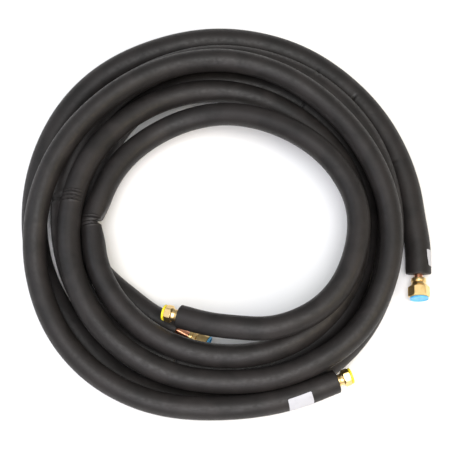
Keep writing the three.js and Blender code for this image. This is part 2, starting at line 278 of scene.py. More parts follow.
def piece_from(name: str, points: Array, faces: Array, sharp: float = 35) -> Piece:
    """Makes a piece from points and four-cornered faces, welds its poles and shades it smooth.

    Args:
        name: The piece's name.
        points: Its points, in any shape that ends in 3.
        faces: Four point numbers for each face.
        sharp: The angle in degrees past which an edge stays sharp.

    Returns:
        The piece, at the world's origin.
    """
    flat = points.reshape(-1, 3)
    mesh = bpy.data.meshes.new(name)
    mesh.vertices.add(len(flat))
    mesh.vertices.foreach_set("co", flat.astype(np.float32).ravel())
    mesh.loops.add(faces.size)
    mesh.loops.foreach_set("vertex_index", faces.astype(np.int32).ravel())
    mesh.polygons.add(len(faces))
    mesh.polygons.foreach_set("loop_start", np.arange(0, faces.size, 4, dtype=np.int32))
    mesh.update(calc_edges=True)
    weld(mesh)
    mesh.shade_smooth()
    mesh.set_sharp_from_angle(angle=sharp * DEGREE)
    piece = bpy.data.objects.new(name, mesh)
    bpy.context.scene.collection.objects.link(piece)
    return piece


def weld(mesh: bpy.types.Mesh) -> None:
    """Joins the points of a mesh that lie in one place, such as those of a pole."""
    work = bmesh.new()
    work.from_mesh(mesh)
    bmesh.ops.remove_doubles(work, verts=work.verts, dist=1e-6)
    work.to_mesh(mesh)
    work.free()


@dataclass
class Centreline:
    """A smooth curve through the middles of a CAD sleeve's rings.

    Between two stations the curve is a cubic, and its slope and curvature carry on through each station. At
    both ends it leaves along the last step, so that the fitting there stands square to the sleeve.

    Attributes:
        stations: The middles of the rings, in order from where the line starts to turn.
        kinks: Where it stands out from the curve.
    """

    stations: Array
    kinks: tuple[Kink, ...]
    steps: Array = field(init=False)
    knots: Array = field(init=False)
    slopes: Array = field(init=False)
    fine: Array = field(init=False)
    along: Array = field(init=False)

    def __post_init__(self) -> None:
        """Solves the slopes at the stations and measures the curve."""
        self.steps = np.linalg.norm(np.diff(self.stations, axis=0), axis=1)
        self.knots = np.concatenate([[0], np.cumsum(self.steps)])
        self.slopes = self.solve_slopes()
        self.fine = np.linspace(0, self.knots[-1], len(self.stations) * 60)
        points = self.point(self.fine)
        self.along = np.concatenate([[0], np.cumsum(np.linalg.norm(np.diff(points, axis=0), axis=1))])

    @property
    def length(self) -> float:
        """The curve's length in metres."""
        return float(self.along[-1])

    def solve_slopes(self) -> Array:
        """Returns the slope at each station that makes the curvature carry on through it.

        For each inner station, the slopes before, at and after it, weighted by 1/h, 2/h + 2/k and 1/k, add
        up to three times the rise before over h² plus the rise after over k², where h and k are the steps
        before and after it.
        """
        count = len(self.stations)
        h = self.steps
        rise = np.diff(self.stations, axis=0)
        weights = np.eye(count)
        wanted = np.zeros((count, 3))
        inner = np.arange(1, count - 1)
        weights[inner, inner - 1] = 1 / h[:-1]
        weights[inner, inner] = 2 / h[:-1] + 2 / h[1:]
        weights[inner, inner + 1] = 1 / h[1:]
        wanted[inner] = 3 * (rise[:-1] / h[:-1, None] ** 2 + rise[1:] / h[1:, None] ** 2)
        wanted[0] = rise[0] / h[0]
        wanted[-1] = rise[-1] / h[-1]
        return np.linalg.solve(weights, wanted)

    def pieces_at(self, place: Array) -> tuple[Array, Array, Array]:
        """Returns the step that each place lies in, the share of it, and its length as a column."""
        step = np.clip(np.searchsorted(self.knots, place, side="right") - 1, 0, len(self.steps) - 1)
        length = self.steps[step][:, None]
        return step, (place[:, None] - self.knots[step][:, None]) / length, length

    def point(self, place: Array) -> Array:
        """Returns the curve's points: the cubic between two stations that has their places and slopes."""
        i, t, h = self.pieces_at(place)
        start = (1 + 2 * t) * (1 - t) ** 2 * self.stations[i] + t * (1 - t) ** 2 * h * self.slopes[i]
        return start + t * t * (3 - 2 * t) * self.stations[i + 1] + t * t * (t - 1) * h * self.slopes[i + 1]

    def heading(self, place: Array) -> Array:
        """Returns the curve's direction: the slope of the same cubic, made one long."""
        i, t, h = self.pieces_at(place)
        rise = 6 * t * (1 - t) * (self.stations[i + 1] - self.stations[i]) / h
        return unit(rise + (1 - t) * (1 - 3 * t) * self.slopes[i] + t * (3 * t - 2) * self.slopes[i + 1])

    def frames(self, distance: Array) -> Frames:
        """Finds the points and section directions at distances along the curve.

        Up is the vertical with its share along the heading taken away, and out is the heading crossed with
        up. Past either end the curve carries on straight.

        Args:
            distance: Distances from the curve's start, in metres, which may be past either end.

        Returns:
            The frames at those distances.
        """
        held = np.clip(distance, 0, self.length)
        place = np.interp(held, self.along, self.fine)
        way = self.heading(place)
        ups = unit(np.array([0, 0, 1.0]) - way[:, 2:] * way)
        outs = np.cross(way, ups)
        centres = self.point(place) + (distance - held)[:, None] * way + self.shift(distance)[:, None] * outs
        return Frames(centres, ups, outs)

    def shift(self, distance: Array) -> Array:
        """Returns how far the kinks move the line outwards at each distance: a bell about each of them."""
        total = np.zeros(len(distance))
        for kink in self.kinks:
            across = (distance - self.place_of(kink.turn)) / (kink.width * MM)
            total += kink.out * MM * np.exp(-(np.abs(across) ** kink.bell))
        return total

    def place_of(self, turn: float) -> float:
        """Returns the distance along the line at which it has turned that many degrees, in metres."""
        along = np.linspace(0, self.length, 8000)
        return float(np.interp(turn, self.turned(along), along))

    def turned(self, distance: Array) -> Array:
        """Returns how far the line has turned about the coil's eye at each distance, in degrees."""
        stops = np.linspace(0, self.length, 4000)
        held = self.point(np.interp(stops, self.along, self.fine))
        angle = np.unwrap(np.arctan2(held[:, 1], held[:, 0])) / DEGREE
        angle += 360 if angle[0] < -90 else 0
        return np.interp(distance, stops, angle)


def ring_middles(node: str, ring_edge: float) -> Array:
    """Reads a CAD sleeve and returns the middles of its rings, in order along the line.

    Corners that lie in one place are one corner. Corners joined by edges shorter than ring_edge make a ring:
    each takes the lowest number among its neighbours until nothing changes. The rings with the most corners
    are the outer ones, and the longer edges between them give their order.

    Args:
        node: The sleeve's node.
        ring_edge: A length in metres between that of a ring's edges and that of the edges along the line.

    Returns:
        One point for each ring, in the order in which the line turns counter-clockwise.
    """
    mesh = bpy.data.objects[node].data
    corners = np.empty(len(mesh.vertices) * 3)
    mesh.vertices.foreach_get("co", corners)
    edges = np.empty(len(mesh.edges) * 2, dtype=np.int64)
    mesh.edges.foreach_get("vertices", edges)
    points, number = np.unique(np.round(corners.reshape(-1, 3), 6), axis=0, return_inverse=True)
    edges = number.ravel()[edges].reshape(-1, 2)
    near = np.linalg.norm(points[edges[:, 0]] - points[edges[:, 1]], axis=1) < ring_edge
    ring = np.arange(len(points))
    while True:
        before = ring.copy()
        low = np.minimum(ring[edges[near, 0]], ring[edges[near, 1]])
        np.minimum.at(ring, edges[near, 0], low)
        np.minimum.at(ring, edges[near, 1], low)
        if np.array_equal(before, ring):
            break
    _, ring, sizes = np.unique(ring, return_inverse=True, return_counts=True)
    middles = np.stack([np.bincount(ring, points[:, axis]) for axis in range(3)], axis=1) / sizes[:, None]
    outer = sizes == sizes.max()
    links = np.unique(np.sort(ring[edges[~near]], axis=1), axis=0)
    links = links[outer[links].all(axis=1) & (links[:, 0] != links[:, 1])]
    return in_order(middles, links)


def in_order(middles: Array, links: Array) -> Array:
    """Walks a chain of linked rings from one end to the other, counter-clockwise about the coil's eye."""
    beside: dict[int, list[int]] = {}
    for a, b in links.tolist():
        beside.setdefault(a, []).append(b)
        beside.setdefault(b, []).append(a)
    here = next(ring for ring, others in beside.items() if len(others) == 1)
    chain = [here]
    while True:
        onward = [ring for ring in beside[here] if len(chain) < 2 or ring != chain[-2]]
        if not onward:
            break
        here = onward[0]
        chain.append(here)
    walk = middles[chain]
    turning = np.unwrap(np.arctan2(walk[:, 1], walk[:, 0]))
    return walk if turning[-1] > turning[0] else walk[::-1]


class Paint:
    """A material's nodes, wired from a few plain calls."""

    def __init__(self, name: str, roughness: float, metallic: float = 0) -> None:
        """Starts a material on Object coordinates.

        Args:
            name: The material's name.
            roughness: The shader's roughness, until something is wired to it.
            metallic: How far it is a metal.
        """
        self.material = bpy.data.materials.new(name)
        self.material.use_nodes = True
        self.nodes = self.material.node_tree.nodes
        self.links = self.material.node_tree.links
        self.shader = self.nodes["Principled BSDF"]
        self.shader.inputs["Roughness"].default_value = roughness
        self.shader.inputs["Metallic"].default_value = metallic
        self.place = self.nodes.new("ShaderNodeTexCoord").outputs["Object"]

    def wire(self, source: Socket, target: str) -> None:
        """Joins a source to one of the shader's sockets."""
        self.links.new(source, self.shader.inputs[target])

    def noise(self, scale: float, detail: float = 3, distort: float = 0) -> Socket:
        """Returns a noise from 0 to 1 with that many waves a metre."""
        node = self.nodes.new("ShaderNodeTexNoise")
        node.inputs["Scale"].default_value = scale
        node.inputs["Detail"].default_value = detail
        node.inputs["Distortion"].default_value = distort
        self.links.new(self.place, node.inputs["Vector"])
        return node.outputs["Fac"]

    def specks(self, scale: float) -> Socket:
        """Returns the distance to the nearest of many scattered points, that many a metre."""
        node = self.nodes.new("ShaderNodeTexVoronoi")
        node.inputs["Scale"].default_value = scale
        self.links.new(self.place, node.inputs["Vector"])
        return node.outputs["Distance"]

    def ramp(self, source: Socket, low: float, high: float, start: float = 0, end: float = 1) -> Socket:
        """Returns the source, with low to high spread over start to end."""
        node = self.nodes.new("ShaderNodeMapRange")
        node.interpolation_type = "SMOOTHSTEP"
        for name, value in zip(("From Min", "From Max", "To Min", "To Max"), (low, high, start, end)):
            node.inputs[name].default_value = value
        self.links.new(source, node.inputs["Value"])
        return node.outputs["Result"]

    def blend(self, share: Socket, first: Triple, second: Triple) -> None:
        """Lets the base colour run from the first to the second as the share grows."""
        node = self.nodes.new("ShaderNodeMix")
        node.data_type = "RGBA"
        self.links.new(share, node.inputs["Factor"])
        for name, colour in (("A", first), ("B", second)):
            node.inputs[name].default_value = (*colour, 1)
        self.wire(node.outputs["Result"], "Base Color")

    def relief(self, *layers: tuple[Socket, float]) -> None:
        """Adds bump layers, each a height from 0 to 1 and how many metres it stands for."""
        below: Socket | None = None
        for height, depth in layers:
            node = self.nodes.new("ShaderNodeBump")
            node.inputs["Distance"].default_value = depth
            self.links.new(height, node.inputs["Height"])
            if below is not None:
                self.links.new(below, node.inputs["Normal"])
            below = node.outputs["Normal"]
        if below is not None:
            self.wire(below, "Normal")


@dataclass(frozen=True)
class FoamSkin:
    """Black closed-cell foam: a dull skin with a fine grain, small pits and faint scuffs."""

    name: str = "black_foam"
    dark: Triple = (0.0098, 0.0086, 0.0082)
    worn: Triple = (0.0186, 0.0158, 0.0152)
    roughness: float = 0.5

    def material(self) -> Material:
        """Returns the material: foam with a slightly cloudy colour, uneven gloss, grain and pits."""
        paint = Paint(self.name, self.roughness)
        paint.shader.inputs["Specular IOR Level"].default_value = 0.34
        cloud = paint.ramp(paint.noise(38, 5, distort=0.4), 0.3, 0.72)
        paint.blend(cloud, self.dark, self.worn)
        gloss = paint.ramp(paint.noise(260, 6), 0.3, 0.7, self.roughness - 0.04, self.roughness + 0.1)
        paint.wire(gloss, "Roughness")
        pits = paint.ramp(paint.specks(620), 0.04, 0.26)
        paint.relief((paint.noise(90, 4), 0.16 * MM), (pits, 0.02 * MM), (paint.noise(1500, 3), 0.05 * MM))
        return paint.material


@dataclass(frozen=True)
class Metal:
    """A bright metal with soft stains and a little unevenness.

    Attributes:
        name: The material's name.
        bright: Its clean colour.
        stained: Its colour where it has dulled.
        roughness: Its roughness where it is clean.
    """

    name: str
    bright: Triple
    stained: Triple
    roughness: float

    def material(self) -> Material:
        """Returns the material: metal with soft stains in its colour, uneven gloss and faint waves."""
        paint = Paint(self.name, self.roughness, 1)
        stain = paint.ramp(paint.noise(140, 4, distort=0.8), 0.45, 0.8)
        paint.blend(stain, self.bright, self.stained)
        gloss = paint.ramp(paint.noise(500, 4), 0.3, 0.75, self.roughness - 0.03, self.roughness + 0.05)
        paint.wire(gloss, "Roughness")
        paint.relief((paint.noise(220, 2), 0.006 * MM))
        return paint.material


@dataclass(frozen=True)
class SoftPlastic:
    """A cap's moulded plastic, slightly clear and unevenly glossy.

    Attributes:
        name: The material's name.
        colour: Its main colour.
        deep: Its colour where it is thicker or handled.
    """

    name: str
    colour: Triple
    deep: Triple

    def material(self) -> Material:
        """Returns the material: plastic with a cloudy colour and a faint moulded unevenness."""
        paint = Paint(self.name, 0.36)
        paint.shader.inputs["Subsurface Weight"].default_value = 0.15
        paint.shader.inputs["Subsurface Radius"].default_value = (1, 1, 1)
        paint.shader.inputs["Subsurface Scale"].default_value = 1.2 * MM
        cloud = paint.ramp(paint.noise(170, 3), 0.35, 0.72)
        paint.blend(cloud, self.colour, self.deep)
        paint.wire(paint.ramp(paint.noise(700, 3), 0.3, 0.7, 0.3, 0.46), "Roughness")
        paint.relief((paint.noise(260, 2), 0.1 * MM), (paint.noise(2200, 2), 0.01 * MM))
        return paint.material


@dataclass(frozen=True)
class Sticker:
    """Coated white paper, blank, a little creased and grubby."""

    name: str = "blank_sticker"
    white: Triple = (0.47, 0.475, 0.51)
    grubby: Triple = (0.41, 0.415, 0.45)

    def material(self) -> Material:
        """Returns the material: paper with faint grime and shallow wrinkles."""
        paint = Paint(self.name, 0.42)
        grime = paint.ramp(paint.noise(130, 5), 0.48, 0.8)
        paint.blend(grime, self.white, self.grubby)
        paint.wire(paint.ramp(paint.noise(500, 3), 0.3, 0.7, 0.34, 0.55), "Roughness")
        paint.relief((paint.noise(190, 3, distort=1), 0.25 * MM), (paint.noise(3000, 2), 0.01 * MM))
        return paint.material


Finishes = dict[Slot, Material]


def make_finishes() -> Finishes:
    """Returns the materials of the set, one for each slot."""
    return {
        Slot.FOAM: FoamSkin().material(),
        Slot.COPPER: Metal("drawn_copper", (0.92, 0.42, 0.25), (0.84, 0.33, 0.17), 0.32).material(),
        Slot.BRASS: Metal("machined_brass", (0.86, 0.63, 0.29), (0.79, 0.54, 0.21), 0.33).material(),
        Slot.YELLOW: SoftPlastic("yellow_cap_plastic", (0.9, 0.78, 0.03), (0.8, 0.64, 0.01)).material(),
        Slot.BLUE: SoftPlastic("blue_cap_plastic", (0.14, 0.52, 0.87), (0.09, 0.43, 0.8)).material(),
        Slot.LABEL: Sticker().material(),
    }


@dataclass
class Part:
    """What every part of a line is given.

    Attributes:
        kind: Which line it belongs to.
        sizes: The line's sizes.
        finishes: The materials.
    """

    kind: LineKind
    sizes: LineSizes
    finishes: Finishes

    def fit(self, piece: Piece, node: str, body: str, slot: Slot) -> Piece:
        """Dresses a piece, lets it ride and has it stand for a CAD node.

        Args:
            piece: The new piece.
            node: The CAD node that it stands for.
            body: The body that it moves with.
            slot: The record's material slot.

        Returns:
            The same piece.
        """
        piece.data.materials.append(self.finishes[slot])
        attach(piece, body)
        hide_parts(node)
        LOG.info("%s: %d faces", piece.name, len(piece.data.polygons))
        return piece


@dataclass
class FoamSleeve(Part):
    """The foam sleeve of one line.

    Attributes:
        path: The line's centreline.
        creases: The folds in it.
        lips: The radius of the outer edge at its start and its end, in millimetres.
        overhang: How far the top of each cut face stands beyond its middle, in millimetres.
        columns: How many points lie round its section.
        coarse: The distance between rows where the foam is plain, in millimetres.
        close: The distance between rows at a crease, in millimetres.
        seat: The room between its bore and the tube, in millimetres.
        fade: How far from each end the cut face's lean has died away, in millimetres.
    """

    path: Centreline
    creases: tuple[Crease, ...]
    lips: Pair
    overhang: Pair
    columns: int = 48
    coarse: float = 3.4
    close: float = 0.6
    seat: float = 0.3
    fade: float = 25

    def rows(self) -> Array:
        """Places the rows of the outer wall, closer together near each crease.

        The rows for each metre are one over the coarse step, rising towards one over the close step under a
        bell about each crease, and a row stands wherever their running total reaches a whole number.

        Returns:
            The rows' distances along the line, in metres.
        """
        samples, widths, widest, plateau = 20000, 2.2, 3, 0.6
        fine = np.linspace(0, self.path.length, samples)
        near = np.full(samples, np.inf)
        for crease in self.creases:
            reach = widths * min(crease.width, widest) + abs(crease.slant)
            near = np.minimum(near, np.abs(fine - self.path.place_of(crease.turn)) / (reach * MM))
        nearness = 1 - smoothstep(near - plateau)
        spacing = self.coarse ** (1 - nearness) * self.close ** nearness * MM
        mean = 0.5 * (1 / spacing[1:] + 1 / spacing[:-1])
        total = np.concatenate([[0], np.cumsum(mean * np.diff(fine))])
        count = int(round(total[-1]))
        return np.interp(np.linspace(0, total[-1], count + 1), total, fine)

    def relief(self, distance: Array, angles: Array) -> Array:
        """Works out how far the foam stands in or out of a plain round sleeve.

        Each crease takes away a bell across its width and adds a bell to each side of it, both faded out by
        a smooth step over its wrap. A straight one holds each point's reach towards its side, which is the
        radius times the cosine of the angle from that side, to the sleeve's radius less the groove; spare
        keeps it clear of the waves. Two slow waves along and round the sleeve add a little unevenness.

        Args:
            distance: The rows' distances along the line, in metres.
            angles: The angles round the section, in radians.

        Returns:
            The relief in metres, rows by angles.
        """
        along = distance[:, None]
        radius = self.sizes.foam_radius * MM
        spare = 0.3 * MM
        edge_on = 0.05
        swelling_at = 1.9
        long_wave = 0.1 * MM * np.sin(along / 0.031 + 1.5 * np.sin(angles))
        short_wave = 0.08 * MM * np.sin(along / 0.0173 + 2 * angles)
        total = long_wave + short_wave
        for crease in self.creases:
            turn = (angles - crease.side * DEGREE + math.pi) % (2 * math.pi) - math.pi
            share = turn / (crease.wrap * DEGREE)
            across = ((along - self.path.place_of(crease.turn)) / MM - crease.slant * share) / crease.width
            groove = crease.depth * MM * np.exp(-(np.abs(across) ** crease.bell))
            if crease.straight:
                facing = np.maximum(np.cos(turn), edge_on)
                total = np.minimum(total, (radius + spare - groove) / facing - radius)
            else:
                beside = crease.rise * MM * np.exp(-((np.abs(across) - swelling_at) ** 2))
                total = total + (1 - smoothstep(np.abs(share))) * (beside - groove)
        return total

    def slope(self, distance: Array, frames: Frames, radii: Array, angles: Array) -> Array:
        """Leans both cut faces.

        A point moves along the line by the overhang times its height over the foam's radius. The move fades
        out over a short stretch from each end by a smooth step.

        Args:
            distance: The rows' distances along the line, in metres.
            frames: The frames of those rows.
            radii: The radius at each row and angle, in metres.
            angles: The angles round the section, in radians.

        Returns:
            The moves, rows by angles by 3.
        """
        fade = self.fade * MM
        at_start = -self.overhang[0] * MM * (1 - smoothstep(distance / fade))
        at_end = self.overhang[1] * MM * (1 - smoothstep((self.path.length - distance) / fade))
        ways = np.cross(frames.ups, frames.outs)
        height = radii * np.cos(angles) / (self.sizes.foam_radius * MM)
        return ((at_start + at_end)[:, None] * height)[..., None] * ways[:, None]

    def build(self) -> Piece:
        """Builds the sleeve: its outer wall, a rounded edge and a cut face at each end, and its bore.

        Returns:
            The sleeve.
        """
        angles = round_the_section(self.columns)
        outer = self.sizes.foam_radius
        bore = self.sizes.tube_od / 2 + self.seat
        wall = self.rows()
        start, end = self.lips
        end_of_line = self.path.length
        inside = wall[(wall > start * MM) & (wall < end_of_line - end * MM)]
        turn = np.linspace(0, math.pi / 2, 9)
        bore_step = 0.011
        first = (start * (1 - np.sin(turn)), outer - start * (1 - np.cos(turn)))
        last = (end * (1 - np.cos(turn)), outer - end * (1 - np.sin(turn)))
        face = np.linspace(1, 0, 6)[1:]
        hole = np.linspace(end_of_line, 0, int(end_of_line / bore_step))
        distance = np.concatenate([
            first[0][::-1] * MM,
            inside,
            end_of_line - last[0][::-1] * MM,
            np.full(len(face), end_of_line),
            hole[1:-1],
            np.zeros(len(face)),
        ])
        radius = np.concatenate([
            first[1][::-1],
            np.full(len(inside), outer),
            last[1][::-1],
            bore + face * (outer - end - bore),
            np.full(len(hole) - 2, bore),
            bore + face[::-1] * (outer - start - bore),
        ])
        outside = np.arange(len(distance)) < len(first[0]) + len(inside) + len(last[0])
        shaped = radius[:, None] * MM + np.where(outside[:, None], self.relief(distance, angles), 0)
        frames = self.path.frames(distance)
        points = carry(frames, shaped, angles) + self.slope(distance, frames, shaped, angles)
        faces = grid_faces(len(distance), self.columns, rows_close=True)
        piece = piece_from(f"{self.kind.value}_foam_sleeve", points, faces, sharp=40)
        return self.fit(piece, f"{self.kind.value}_line_foam", "coil", Slot.FOAM)


@dataclass
class CopperTube(Part):
    """The copper tube of one line, from flare to flare.

    Attributes:
        path: The line's centreline, which runs from foam end to foam end.
        before: How far the plain tube reaches past the centreline's start, in metres.
        after: How far it reaches past the centreline's end, in metres.
        columns: How many points lie round its section.
        step: The distance between rows, in metres.
    """

    path: Centreline
    before: float
    after: float
    columns: int = 32
    step: float = 0.006

    def flare(self) -> tuple[Array, Array]:
        """Returns the outer wall of a flare, as distances past the plain tube and radii, in metres.

        The wall leaves the tube on an arc, opens at 45 degrees to the lip and turns round the lip's edge.
        """
        tube = self.sizes.tube_od / 2
        lip = self.sizes.flare_od / 2
        rise = lip - tube
        stretch = 0.8
        past = np.array([0, 0.25, 0.5, 1, 1.25]) * rise * stretch
        out = np.array([0, 0.03, 0.16, 0.62, 0.9]) * rise
        return past * MM, (tube + out) * MM

    def build(self) -> Piece:
        """Builds the tube: its outer wall, both flares and its bore, as one wall that closes on itself.

        Returns:
            The tube.
        """
        angles = round_the_section(self.columns)
        wall = self.sizes.tube_wall * MM
        both_stubs = 0.05
        count = int((self.path.length + both_stubs) / self.step)
        plain = np.linspace(-self.before, self.path.length + self.after, count)
        past, out = self.flare()
        distance = np.concatenate([plain[0] - past[:0:-1], plain, plain[-1] + past[1:]])
        radius = np.concatenate([out[:0:-1], np.full(len(plain), out[0]), out[1:]])
        lip, fold = 0.35 * wall, 1.2 * wall
        inner = radius - wall
        inner[[0, -1]] = radius[[0, -1]] - fold
        hollow = distance.copy()
        hollow[0] -= lip
        hollow[-1] += lip
        loop = np.concatenate([distance, hollow[::-1]])
        points = carry(self.path.frames(loop), np.concatenate([radius, inner[::-1]]), angles)
        faces = grid_faces(len(loop), self.columns, rows_close=True)
        piece = piece_from(f"{self.kind.value}_copper_tube", points, faces, sharp=50)
        return self.fit(piece, f"{self.kind.value}_line_copper", "coil", Slot.COPPER)


@dataclass
class BlankLabel(Part):
    """A blank sticker round the outer side of a sleeve.

    Attributes:
        path: The line's centreline.
        start: Where the sticker starts along the line, in metres.
        corner: The radius of its corners, in millimetres.
        thickness: Its thickness, in millimetres.
        lift: How far its under side lies off the foam, in millimetres.
    """

    path: Centreline
    start: float
    corner: float = 1.6
    thickness: float = 0.16
    lift: float = 0.12

    def build(self) -> Piece:
        """Builds the sticker as a bent sheet with round corners.

        A grid of shares along and across is laid on the sleeve. Near each end the half width is drawn in by
        the radius less the root of the radius squared less the distance into the corner squared. A slow wave
        lifts the edges a little.

        Returns:
            The sticker.
        """
        rows, columns = 40, 36
        length = self.sizes.label_length * MM
        along = 0.5 - 0.5 * np.cos(np.linspace(0, math.pi, rows))
        radius = (self.sizes.foam_radius + self.lift) * MM
        corner = self.corner * MM
        half = radius * self.sizes.label_arc / 2 * DEGREE
        into = np.clip(corner - np.minimum(along, 1 - along) * length, 0, corner)
        width = half - (corner - np.sqrt(corner**2 - into**2))
        across = np.linspace(-1, 1, columns)
        turn = width[:, None] * across[None, :] / radius
        centre = self.sizes.label_side + self.sizes.label_skew * (2 * along - 1)
        angles = centre[:, None] * DEGREE + turn
        half_curl, waves, near_edge = 0.25 * MM, 9, 6
        curl = half_curl * np.abs(across[None, :]) ** near_edge * (1 + np.sin(along[:, None] * waves))
        points = carry(self.path.frames(self.start + along * length), radius + curl, angles)
        faces = grid_faces(rows, columns, rows_close=False, columns_close=False)
        piece = piece_from(f"{self.kind.value}_blank_label", points, faces)
        sheet = piece.modifiers.new("paper_thickness", "SOLIDIFY")
        sheet.thickness = self.thickness * MM
        sheet.offset = 1
        return self.fit(piece, f"{self.kind.value}_line_label", "coil", Slot.LABEL)


@dataclass
class Fitting(Part):
    """A flare nut and its cap on one end of a line.

    Attributes:
        end: Which end it is on.
        base: The middle of the nut's collar face, in metres.
        axis: The way the nut points, away from the line.
        sides: How many points lie round it.
        cap_flange: The thickness of the cap's flange, in millimetres, as are the sizes below.
        cap_rim: The width of the rim round the cap's dish.
        cap_dish: The depth of the dish.
        cap_plug: How far the cap's plug reaches into the nut.
        seat: The room between the cap and the nut.
        running: The room between the nut and the tube.
        collar_edge: The radius of the collar's edges.
        groove: The depth of the groove behind the collar.
        steepness: How much a shoulder or bevel rises for each millimetre outwards, on the hexagon's two ends.
    """

    end: End
    base: Array
    axis: Array
    sides: int = 96
    cap_flange: float = 2.2
    cap_rim: float = 1.4
    cap_dish: float = 1.0
    cap_plug: float = 6
    seat: float = 0.3
    running: float = 0.4
    collar_edge: float = 1.0
    groove: float = 0.7
    steepness: Pair = (0.7, 0.8)

    @property
    def name(self) -> str:
        """The name that the fitting's nodes and joint start with."""
        return f"{self.kind.value}_{self.end.value}"

    def frames(self, height: Array) -> Frames:
        """Returns frames along the nut's axis, turned from the vertical by the shortest way.

        Args:
            height: Heights above the collar face, in millimetres.

        Returns:
            The frames at those heights.
        """
        turn = Vector((0, 0, 1)).rotation_difference(Vector(self.axis))
        first = np.array(turn @ Vector((1, 0, 0)))
        second = np.array(turn @ Vector((0, 1, 0)))
        centres = self.base + height[:, None] * MM * self.axis
        ones = np.ones((len(height), 1))
        return Frames(centres, ones * first, ones * second)

    def nut_outline(self) -> Array:
        """Draws half of the nut's section, from the collar's edge over the hexagon to the mouth's edge.

        Returns:
            Pairs of radius and height, in millimetres, with arcs for the collar's edges.
        """
        size = self.sizes
        collar, edge, top = size.collar_od / 2, self.collar_edge, size.collar_length
        arc = np.linspace(0, math.pi / 2, 7)
        low = np.stack([collar - edge * (1 - np.sin(arc)), edge * (1 - np.cos(arc))], axis=1)
        high = np.stack([collar - edge * (1 - np.cos(arc)), top - edge * (1 - np.sin(arc))], axis=1)
        groove = np.array([[collar - self.groove - 0.05, top + 0.1], [collar - self.groove, top + 0.4]])
        flat = size.flats / 2
        corner = flat / math.cos(math.pi / 6)
        start = top + size.cone_length
        neck = flat - (corner - flat)
        slope = (corner - neck) * self.steepness[0]
        shoulder = np.linspace(0, 1, 9)[:, None] * [corner - neck, slope] + [neck, start]
        bevel = (corner - flat) * self.steepness[1]
        plain = np.linspace(start + slope, size.nut_length - bevel, 8)[1:-1]
        side = np.stack([np.full(len(plain), corner), plain], axis=1)
        mouth_share = 0.985
        mouth = np.linspace(0, 1, 8)[:, None] * [flat * mouth_share - corner, bevel]
        return np.concatenate([low, high, groove, shoulder, side, mouth + [corner, size.nut_length - bevel]])

    def nut_bore(self) -> Array:
        """Draws the nut's inside, from the mouth down its thread and seat to the collar face.

        The thread's rows stand a twelfth of the pitch apart, so that a wave turned with the angle makes a
        helix.

        Returns:
            Pairs of radius and height, in millimetres, before the thread is cut.
        """
        size = self.sizes
        crest = size.bore / 2
        shank = size.tube_od / 2 + self.running
        top = size.nut_length
        seat = top - size.thread_depth
        thread = np.linspace(top - 0.8, seat + 0.6, int(12 * (size.thread_depth - 1.4) / size.thread_pitch))
        rows = [[crest + 0.7, top], [crest + 0.3, top - 0.4]]
        rows += [[crest, height] for height in thread]
        rows += [[crest, seat], [shank, seat - (crest - shank)]]
        rows += [[shank, 1.0], [shank + 0.3, 0.35], [shank + 0.5, 0]]
        return np.array(rows)

    def build_nut(self) -> Piece:
        """Builds the flare nut.

        Outside, the radius is the smaller of the turned outline's and the hexagon's, which is half the flats
        over the cosine of the angle from the nearest flat's middle. The hexagon's corners are cut off at a
        radius a little under their own. The thread's depth is a triangle wave of height and angle, faded out
        at both of its ends.

        Returns:
            The nut.
        """
        size = self.sizes
        angles = round_the_section(self.sides)
        outline, bore = self.nut_outline(), self.nut_bore()
        from_flat = (angles % (math.pi / 3)) - math.pi / 6
        hexagon = size.flats / 2 / np.cos(from_flat)
        blunt = 1.137 * size.flats / 2
        outside = np.minimum(outline[:, :1], np.minimum(hexagon, blunt)[None, :])
        height = bore[:, 1:]
        runout, thread_share = 1.2, 0.55
        below_mouth = size.nut_length - height
        depth = np.clip((below_mouth - 0.8) / runout, 0, 1)
        depth = depth * np.clip((size.thread_depth - 0.4 - below_mouth) / runout, 0, 1)
        wave = (height / size.thread_pitch - angles[None, :] / (2 * math.pi)) % 1
        cut = (1 - np.abs(2 * wave - 1)) * 0.5 * size.thread_pitch * thread_share
        inside = bore[:, :1] + depth * cut
        rows = np.concatenate([outline[:, 1], bore[:, 1]])
        points = carry(self.frames(rows), np.concatenate([outside, inside]) * MM, angles)
        faces = grid_faces(len(rows), self.sides, rows_close=True)
        piece = piece_from(f"{self.name}_brass_nut", points, faces, sharp=22)
        return self.fit(piece, f"{self.name}_flare_nut", f"{self.name}_nut", Slot.BRASS)

    def cap_outline(self) -> Array:
        """Draws half of the cap's section, from its plug's foot round its flange to the middle of its dish.

        Returns:
            Pairs of radius and height above the nut's mouth, in millimetres.
        """
        plug = self.sizes.bore / 2 - self.seat
        flange = self.sizes.cap_od / 2
        dish = flange - self.cap_rim
        floor = self.cap_flange - self.cap_dish
        arc = np.linspace(0, math.pi / 2, 6)
        edge, rim, fillet = 0.5, 0.35, 0.45
        foot, shank, bead, gate = -self.cap_plug, plug - 0.1, 0.3, floor + 0.12
        rows = [[0, foot + 1.2], [plug - 1.5, foot + 1.2], [plug - 1.2, foot]]
        rows += [[plug - 0.5, foot], [shank, foot + 0.5]]
        for middle in (-3.1, -1.3):
            rows += [[shank, middle - bead], [plug, middle], [shank, middle + bead]]
        rows += [[shank, 0], [flange - edge, 0]]
        rows += [[flange - edge * (1 - math.sin(a)), edge * (1 - math.cos(a))] for a in arc[1:]]
        top = self.cap_flange
        rows += [[flange - rim * (1 - math.cos(a)), top - rim * (1 - math.sin(a))] for a in arc]
        rows += [[dish + rim * (1 - math.sin(a)), top - rim * (1 - math.cos(a))] for a in arc]
        rows += [[dish - fillet * (1 - math.cos(a)), floor + fillet * (1 - math.sin(a))] for a in arc]
        rows += [[dish * 0.5, floor], [1.1, floor], [0.95, gate], [0.3, gate], [0, gate]]
        return np.array(rows)

